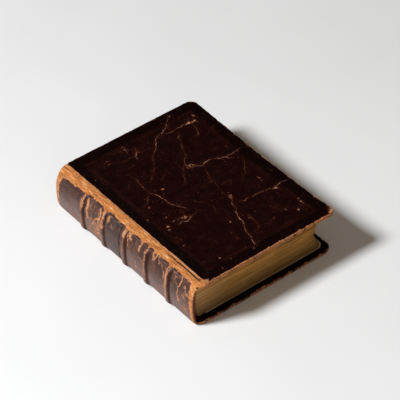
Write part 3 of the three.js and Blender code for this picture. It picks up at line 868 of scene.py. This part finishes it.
# Broader rubbed places, of leather gone thin and pale: (y, depth, half sizes, strength).
SPINE_PATCHES = (
    (28, 27, 4.5, 9, 0.42), (37, 30, 3.0, 7, 0.36), (-71, 26, 3.5, 9, 0.32), (46, 30, 1.6, 8, 0.36),
    (-24, 26, 1.6, 9, 0.38), (60, 40, 5, 5, 0.34), (-40, 42, 6, 5, 0.34), (12, 44, 6, 3, 0.3),
)
SPINE_CRACKS = (
    (0.14, 73,3.4, 62,2.6, 50,2.2, 38,2.4, 24,1.6),
    (0.12, 66,5.0, 58,4.2, 47,4.6, 36,3.8),
    (0.11, 12,2.6, -4,3.2, -18,2.4, -30,2.9),
    (0.1, -36,4.6, -52,3.8, -66,4.4),
    (0.18, 39,9, 37,14, 38,20, 36,26),
    (0.16, -12,8, -14,14, -13,20),
    (0.16, -33,12, -36,18, -39,26),
    (0.18, -56,9, -57,15, -55,22, -57,30),
    (0.16, -66,10, -67,16, -72,20),
)


def band_shape(place, y):
    """Height of the raised bands, from 0 to 1, the painted shade on the flanks that face the tail
    (with a little dirt on the other side), and where their crests are rubbed.
    """
    depth = depth_of(place)
    fade = smoothstep(2.2, 4.2, place) * smoothstep(5.5, 11, depth)
    height, grime_and_shade, crest = np.zeros((3, *np.shape(y)))
    for number, band in enumerate(BANDS):
        away = y - band + 0.25 * fractal(depth / 6, y * 0 + band, 1, 60 + number)
        height = np.maximum(height, np.clip(1 - (np.abs(away) / 3.0) ** 2.2, 0, 1) ** 0.8)
        # Painted shade on the flank that faces the tail, away from the light, and a little dirt at
        # the other foot.
        grime_and_shade = np.maximum(grime_and_shade, bell(away + 2.5, 0.85))
        grime_and_shade = np.maximum(grime_and_shade, 0.3 * bell(away - 3.2, 0.5))
        crest = np.maximum(crest, bell(away + 0.5, 0.75))
    return height * fade, grime_and_shade * smoothstep(7, 10, depth), crest


def spine_fields(place, y):
    """Wear, cracks, dirt and painted shade over the spine and the front joint, and the depth of its
    splits.
    """
    depth = depth_of(place)
    ragged = fractal(y, depth, 4, 110) + 0.6 * fractal(y, depth, 1.2, 114)
    _, grime_and_shade, crest = band_shape(place, y)
    strip_edge = np.interp(y, *STRIP_EDGE.T) + 0.35 * fractal(y, y * 0, 4, 120)
    wear = 1 - (depth - strip_edge + 0.7) / 1.8
    end = HALF_HEIGHT - np.abs(y)
    cap_width = np.interp(depth, (8, 14, 22, 30), (7.6, 5.2, 4.1, 3.6))
    wear = np.maximum(wear, 1 - (end - cap_width + 0.9) / 1.9)
    wear = np.maximum(wear, crest * (0.6 - 0.006 * np.clip(depth - 12, 0, 40)) * (depth > 7))
    for cy, cd, hy, hd, strength in SPINE_PATCHES:
        d = np.hypot((y - cy) / hy, (depth - cd) / hd)
        wear = np.maximum(wear, strength * (1.1 - 0.4 * d))
    wear = wear - 0.55 * grime_and_shade
    for number, (width, strength, *points) in enumerate(SPINE_STROKES):
        d, _, _ = distance_to_route(y, depth, jagged(points, 500 + number))
        wear = np.maximum(wear, 0.84 * strength * np.clip(1.15 - 0.7 * d / width, -1, 1))
    wear = wear + 0.3 * ragged
    fields, groove = crack_fields(y, depth, SPINE_CRACKS, 130)
    # Near the tail the seam between the strip and the cover has torn open. Its opening is painted
    # black as shade, over a deep groove.
    seam = np.abs(depth - 1.0 - 0.2 * fractal(y, y * 0, 5, 140))
    torn = smoothstep(-36, -46, y) * smoothstep(-77, -73, y)
    gap = np.clip(1.25 - seam / 0.65, 0, 1) * torn
    soot = np.maximum(grime_and_shade * 0.75 * (1 - smoothstep(0.5, 0.8, wear)), gap)
    # Painted shade below the strip's lifted edge, in dashes over a shallow groove.
    shaded = sum(smoothstep(a - 0.6, a + 0.6, y) * smoothstep(b + 0.6, b - 0.6, y)
                 for a, b in SHADED_RUNS)
    shaded = shaded * smoothstep(-0.5, -0.1, fractal(y, y * 0, 3, 150))
    dashes = shaded * bell(depth - strip_edge - 0.25, 0.6)
    soot = np.maximum(soot, 0.85 * dashes)
    wear = np.where(gap > 0.3, -0.5, wear - 0.8 * dashes)
    # A small hole in the tail cap, below the strip, painted black inside as shade over a dent.
    hole = np.exp(-((end - 1.2) ** 2 / 1.0 + (depth - 6.4) ** 2 / 1.6)) * (y < 0)
    on_caps = smoothstep(8, 5, end) * smoothstep(38, 18, depth)
    faded = 0.7 * smoothstep(6.5, 10, depth) * (1 - 0.8 * on_caps)
    # Low on the spine the leather is paled towards a pinkish grey, a painted sheen of reflected
    # light.
    fields.update(wear=np.where(hole > 0.4, -0.5, wear), soot=np.maximum(soot, hole), faded=faded,
                  dusty=0.85 * smoothstep(15, 32, depth + 4 * fractal(y, depth, 8, 155)))
    return fields, np.maximum(np.maximum(6 * gap, 0.9 * dashes), np.maximum(6 * hole, groove))


def cap_dip(y, depth):
    """How far the caps dip in y between the covers, where they lean over the headbands."""
    near_end = smoothstep(72, 80, np.abs(y)) * smoothstep(3, 11, depth) * smoothstep(50, 44, depth)
    dip = np.where(y < 0, 1.6, 0.6) + 0.25 * fractal(depth, y * 0, 7, 170)
    return np.sign(y) * near_end * dip


def leather_cap_rows():
    """One turn of the leather in y: over the outside, round both caps and back inside. Each row
    is y, the offset from the section, and how much of the outside's relief it has."""
    lip = [(75.6, -1.9, 0), (78.9, -1.95, 0.2), (79.5, -1.8, 0.4), (79.85, -1.45, 0.6),
           (80.0, -1.0, 0.4), (79.9, -0.5, 1), (79.65, -0.2, 1), (79.2, -0.04, 1)]
    outside = [(y, 0.0, 1) for y in np.linspace(78.6, -78.6, 330)]
    inside = [(-75.5, -1.0, 0), (0.0, -1.0, 0), (75.5, -1.0, 0)]
    tail_lip = [(-y, offset, shown) for y, offset, shown in lip[::-1]]
    return np.array(lip + outside + tail_lip + inside)


def add_spine():
    """The spine leather with its caps and bands, running on over the front joint."""
    rows = leather_cap_rows()
    places = place_at(np.linspace(-1.6, depth_of(2.05), 110))[::-1]
    count_y, count_p = len(rows), len(places)
    row, column = np.meshgrid(np.arange(count_y), np.arange(count_p), indexing="ij")
    y, offset, shown = (rows[row, n] for n in range(3))
    place = places[column]
    height, _, _ = band_shape(place, y)
    fields, groove = spine_fields(place, y)
    fields["wear"] = np.where(shown > 0.5, fields["wear"], -0.3)
    fields["soot"] = np.where(shown > 0.5, fields["soot"], 0.3)
    depth = depth_of(place)
    thin = smoothstep(6, 2, depth)
    offset = np.where(offset < -0.9, offset * (1 - 0.45 * thin), offset)
    relief = 0.10 * fractal(y, depth, 9, 160) + 0.04 * fractal(y, depth, 2, 163)
    relief = relief - 0.14 * smoothstep(0.45, 0.7, fields["wear"]) * smoothstep(7.5, 10, depth)
    relief = relief + 0.10 * fractal(y / 9, depth, 1.5, 166) * smoothstep(8.5, 6, depth)
    relief = relief - 0.15 * groove
    offset = offset + shown * (1.75 * height + relief * smoothstep(80, 78.5, np.abs(y)))
    points = on_spine(place, y, offset)
    points[..., 1] -= cap_dip(y, depth)
    points[..., 1] -= smoothstep(-60, -80, y) * smoothstep(6, 2, depth) * TAIL_REACH["front"]
    number = np.arange(count_y * count_p).reshape(count_y, count_p)
    ring = np.concatenate([number, number[:1]])
    faces = np.concatenate([grid_faces(ring), strip_lid(number[:, 0], True),
                            strip_lid(number[:, -1], False)])
    flat = {key: np.broadcast_to(value, row.shape).ravel() for key, value in fields.items()}
    piece = add_mesh("spine_leather_skin", points.reshape(-1, 3), faces, SPINE_SKIN, **flat)
    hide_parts("spine_leather", "front_joint_leather")
    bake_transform(piece)


def strip_lid(loop, flip):
    """Quads that close a long thin loop of vertices by joining its two halves."""
    half = len(loop) // 2
    first, second = loop[:half], loop[::-1][:half]
    lid = grid_faces(np.stack([first, second]))
    return lid[:, ::-1] if flip else lid


def add_back_joint():
    """The leather of the back joint, from inside the spine's lower edge to under the back cover."""
    places = np.linspace(0.0, 2.3, 22)
    place, y, k, faces = box_lattice(places, rows_over(HALF_HEIGHT, 1.0), 2)
    thick = np.interp(place, (0, 1.0, 1.6, 2.0, 2.3), (2.6, 2.4, 1.3, 0.8, 0.3))
    sink = np.interp(place, (1.9, 2.3), (0.0, 0.25))
    offset = np.where(k == 0, 0.06 * fractal(y, place * 3, 6, 180) - sink - 0.05, -thick - sink)
    depth = depth_of(place)
    y = y * (1 - 0.002 * (k == 1))
    y = stretch_tail(y, TAIL_REACH["back"] * smoothstep(44, 49, depth)) - cap_dip(y, depth)
    points = on_spine(place, y, offset)
    ragged = fractal(y, place * 3, 4, 183)
    wear = np.where(k == 0, 1.6 + 0.5 * ragged, 0.3 + 0.3 * ragged)
    piece = add_mesh("back_joint_leather_skin", points, faces[:, ::-1], COVER_SKIN, wear=wear,
                     side=2, opened=0, halo=0, soot=0, faded=0, dusty=0)
    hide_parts("back_joint_leather")
    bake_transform(piece)


def add_label():
    """A blank leather label on the third panel, its edges lifted and chipped."""
    near, far, bottom, top = 7.4, 38, 3.3, 20.6
    places = place_at(np.linspace(near, far, 52))
    place, y, k, faces = box_lattice(places, crowded(bottom, top, 0.5), 2)
    depth = depth_of(place)
    rim = np.minimum(np.minimum(y - bottom, top - y), np.minimum(depth - near, far - depth))
    nibble = 0.35 * fractal(y, depth, 2.5, 190) * np.exp(-rim / 1.5)
    outside = 0.3 + 0.05 * fractal(y, depth, 6, 193) - 0.2 * smoothstep(0.8, 0, rim)
    offset = np.where(k == 1, outside, -0.2)
    middle = (bottom + top) / 2
    points = on_spine(place, middle + (y - middle) * (1 - 0.05 * np.abs(nibble)), offset)
    wear = 0.3 - rim / 1.4 + 0.4 * fractal(y, depth, 2.2, 196)
    chip = 0.95 - 0.6 * np.hypot((y - 18.0) / 1.6, (depth - 10.5) / 3)
    wear = np.maximum(wear, chip + 0.3 * nibble)
    wear = np.maximum(wear, 0.10 + 0.34 * fractal(y, depth, 3.5, 199))
    # Two blind lines across it, one near each end.
    line = np.where(y < middle, y - bottom - 1.9, y - top + 1.9)
    opened = 0.17 * smoothstep(2, 1, np.abs(line)) * (1 + fractal(y, depth, 5, 198))
    # Low on the spine the label is paled too, a painted sheen of reflected light.
    fields = dict(wear=wear, side=line, opened=opened, halo=0.2, faded=0.5,
                  soot=bell(y - bottom, 0.6), dusty=0.6 * smoothstep(16, 34, depth))
    piece = add_mesh("spine_label_skin", points, faces[:, ::-1], LABEL_SKIN, **fields)
    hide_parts("spine_label")
    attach(piece, "text_block")


def add_headband(end):
    """Silk wound over a cord: a roll with a bead for each turn of the thread."""
    y = (1 if end == "head" else -1) * (LEAF_HALF_HEIGHT + 1.1)
    places = place_at(np.linspace(13, 41, 190))
    sides, thread = 12, 0.9
    ring, turn = np.meshgrid(np.arange(len(places)), np.arange(sides), indexing="ij")
    place = places[ring]
    radius = 0.85 + 0.07 * np.sin(depth_of(place) * 2 * math.pi / thread)
    angle = 2 * math.pi * turn / sides
    points = on_spine(place, y + radius * np.sin(angle), -2.95 + radius * np.cos(angle))
    number = np.arange(ring.size).reshape(ring.shape)
    faces = np.concatenate([grid_faces(np.concatenate([number, number[:, :1]], 1)),
                            strip_lid(number[0], True), strip_lid(number[-1], False)])
    piece = add_mesh(f"headband_{end}_silk", points.reshape(-1, 3), faces, SILK)
    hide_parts(f"headband_{end}")
    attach(piece, "text_block")


# ---- Leaves ----

def fore_edge(z):
    """The x of the leaves' hollow fore edge at a height."""
    reach = np.where(z > HOLLOW, LEAVES_TOP - HOLLOW, HOLLOW - LEAVES_BOTTOM)
    away = np.clip(np.abs(z - HOLLOW) / reach, 0, 1)
    return WIDEST - HOLLOW_DEPTH * (1 - away ** 1.35)


def leaf_layers():
    """Heights and insets of the leaf edges for each gathering, first one on top."""
    rng = np.random.default_rng(7)
    gap, ridges = 0.1, 7
    top = LEAVES_TOP - FLYLEAF - gap
    bottom = LEAVES_BOTTOM + FLYLEAF + gap
    pitch = (top - bottom + gap) / GATHERINGS
    made = []
    for n in range(GATHERINGS):
        upper = top - n * pitch
        lower = upper - pitch + gap
        z = np.linspace(lower, upper, 2 * ridges + 1)
        inset = rng.uniform(0.0, 0.18, len(z))
        inset[0::2] += 0.16
        inset[[0, -1]] += 0.05
        made.append((z, inset))
    return made


LAYERS = leaf_layers()


def page_edge_place(x, y, z, inset):
    """Places lattice points of a block of leaves whose outline follows the hollow fore edge."""
    x, y = round_corners(x, y, -40.0, WIDEST, LEAF_HALF_HEIGHT, 1.0, 6.0)
    wander = edge_wander(x, y, z) + inset
    share = (x - LEAF_START) / (WIDEST - LEAF_START)
    x = LEAF_START + share * (fore_edge(z) - wander - LEAF_START)
    y = y * (1 - wander / LEAF_HALF_HEIGHT)
    return x, y


def edge_wander(x, y, z):
    return 0.12 * fractal(x + y, z * 2.5, 7, 200)


def edge_share(x, y, face):
    """The 'edge' attribute: 1 on cut edges and fading to 0 over a leaf's face."""
    rim = np.minimum(WIDEST - HOLLOW_DEPTH + 3 - x, LEAF_HALF_HEIGHT - np.abs(y))
    inner = 0.8 * smoothstep(9, 0.3, rim + 1.5 * fractal(x, y, 12, 9))
    return np.where(face, inner, 1.0)


def leaf_columns(step):
    """Places in x across a leaf, closest together where it bends by the spine."""
    bend = 36
    return np.concatenate([np.linspace(LEAF_START, bend, 26)[:-1], crowded(bend, WIDEST, step)])


def bending(piece):
    """Bakes the leaves' place into their mesh."""
    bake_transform(piece)


def add_gathering(number):
    z_rows, insets = LAYERS[number - 1]
    rows = rows_over(LEAF_HALF_HEIGHT, 6)
    x, y, k, faces = box_lattice(leaf_columns(3.5), rows, len(z_rows))
    face = (k % (len(z_rows) - 1) == 0) & (x < WIDEST) & (np.abs(y) < LEAF_HALF_HEIGHT)
    z = z_rows[k]
    x, y = page_edge_place(x, y, z, insets[k])
    edge = edge_share(x, y, face)
    name = f"gathering_{number:02d}"
    piece = add_mesh(f"{name}_leaves", np.stack([x, y, z], -1), faces, LEAVES, edge=edge)
    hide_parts(name)
    if number < FIRST_STILL:
        bending(piece)
    else:
        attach(piece, "text_block")


def add_flyleaf(side):
    z0 = LEAVES_TOP - FLYLEAF if side == "front" else LEAVES_BOTTOM
    x, y, k, faces = box_lattice(leaf_columns(2.5), rows_over(LEAF_HALF_HEIGHT, 4), 2)
    z = z0 + FLYLEAF * k
    x, y = page_edge_place(x, y, z, -0.5)
    rim = np.minimum(np.minimum(WIDEST - x, x), LEAF_HALF_HEIGHT - np.abs(y))
    z = z + 0.04 * fractal(x, y, 25, 243) * smoothstep(0, 6, x - LEAF_START)
    edge = 0.35 * smoothstep(8, 0, rim + 2 * fractal(x, y, 12, 246))
    piece = add_mesh(f"{side}_flyleaf_paper", np.stack([x, y, z], -1), faces, ENDPAPER, edge=edge)
    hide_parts(f"{side}_flyleaf")
    if side == "front":
        bending(piece)
    else:
        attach(piece, "text_block")


def add_sewn_folds():
    """The folds of all the gatherings, rounded behind, with the same leaf edges at both ends."""
    z_rows = np.concatenate([[LEAVES_BOTTOM], *[z for z, _ in LAYERS[::-1]], [LEAVES_TOP]])
    insets = np.concatenate([[0.1], *[inset for _, inset in LAYERS[::-1]], [0.1]])
    inner = on_spine(np.linspace(2.6, 11, 200), 0, -1.55 * np.ones(200))
    back = np.interp(z_rows, inner[:, 2], inner[:, 0])
    rows = rows_over(LEAF_HALF_HEIGHT, 20)
    share, y, k, faces = box_lattice(np.linspace(0, 1, 16), rows, len(z_rows))
    z = z_rows[k]
    # At both ends the folds stop short of the leather, which leaves a gap under the headbands.
    start = back[k] + 4.8 * smoothstep(LEAF_HALF_HEIGHT - 4, LEAF_HALF_HEIGHT - 1, np.abs(y))
    x = start + share * (LEAF_START - start)
    y = y * (1 - (edge_wander(x, y, z) + insets[k]) / LEAF_HALF_HEIGHT)
    piece = add_mesh("sewn_folds_leaves", np.stack([x, y, z], -1), faces, LEAVES, edge=1)
    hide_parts("sewn_folds")
    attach(piece, "text_block")


# ---- Stage, light and camera ----

def place_at_angle(made, location, rotation):
    made.location = location
    made.rotation_mode = "QUATERNION"
    made.rotation_quaternion = rotation


def area_light(name, place, target, size, power, colour):
    """A round lamp. Its place, target and size are metres in the frame."""
    data = bpy.data.lights.new(name, "AREA")
    data.shape, data.size = "DISK", size
    data.energy, data.color = power, colour
    aim = (Vector(place) - Vector(target)).to_track_quat("Z", "Y")
    place_at_angle(add_object(name, data), place, aim)


def add_floor():
    half = 15.0  # metres
    mesh = bpy.data.meshes.new("floor")
    corners = [(-half, -half, 0), (half, -half, 0), (half, half, 0), (-half, half, 0)]
    mesh.from_pydata(corners, [], [(0, 1, 2, 3)])
    mesh.materials.append(floor_material())
    add_object("floor", mesh)


def add_world():
    world = bpy.data.worlds.new("studio")
    world.use_nodes = True
    background = world.node_tree.nodes["Background"]
    background.inputs["Color"].default_value = (1.0, 0.85, 0.70, 1)
    background.inputs["Strength"].default_value = 0.15
    bpy.context.scene.world = world


def add_camera():
    """The photo's view: far off, through a long lens, with the book a little off its centre."""
    azimuth, elevation = math.radians(-38.97), math.radians(41.98)
    aim, distance = Vector((60.0, 0, 20.0)), 1588.0
    shift_right, shift_up = 0.39, -2.96
    right = Vector((math.cos(azimuth), math.sin(azimuth), 0))
    back = Vector((math.sin(azimuth) * math.cos(elevation),
                   -math.cos(azimuth) * math.cos(elevation), math.sin(elevation)))
    up = back.cross(right)
    place = aim + back * distance - right * shift_right - up * shift_up
    data = bpy.data.cameras.new("camera")
    data.lens, data.sensor_width = 198.0, 36
    data.clip_start, data.clip_end = 0.05, 20
    camera = add_object("camera", data)
    rotation = Matrix((right, up, back)).transposed().to_quaternion()
    place_at_angle(camera, in_metres(place), rotation)
    bpy.context.scene.camera = camera


# ---- The scene ----

add_camera()
add_world()
area_light("key", place=(-1.5, 0.55, 1.6), target=(-0.2, -1.8, 0), size=0.58, power=78.3,
           colour=(0.94, 0.97, 1.0))
area_light("fill", place=(-0.9, -1.6, 1.0), target=(0, 0, 0), size=1.2, power=3.5,
           colour=(1.0, 0.9, 0.8))
add_floor()
bpy.context.scene.view_settings.view_transform = "Standard"

add_cover("front", FRONT_CRACKS, FRONT_SPOTS, 0.5, 300)
add_cover("back", BACK_CRACKS, BACK_SPOTS, 0.8, 400)
for side in ("front", "back"):
    add_pastedown(side)
    add_flyleaf(side)
    add_board(side)
add_spine()
add_back_joint()
add_label()
add_headband("head")
add_headband("tail")
add_sewn_folds()
for number in range(1, GATHERINGS + 1):
    add_gathering(number)
# The hidden parts keep their CAD shapes and get a finish.
FINISHES = {"raised_cord": HEMP, "spine_lining": CLOTH, "kettle_stitch": THREAD}
for name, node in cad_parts.items():
    material = FINISHES.get(name.rpartition("_")[0])
    if material:
        for slot in node.material_slots:
            slot.link, slot.material = "OBJECT", material
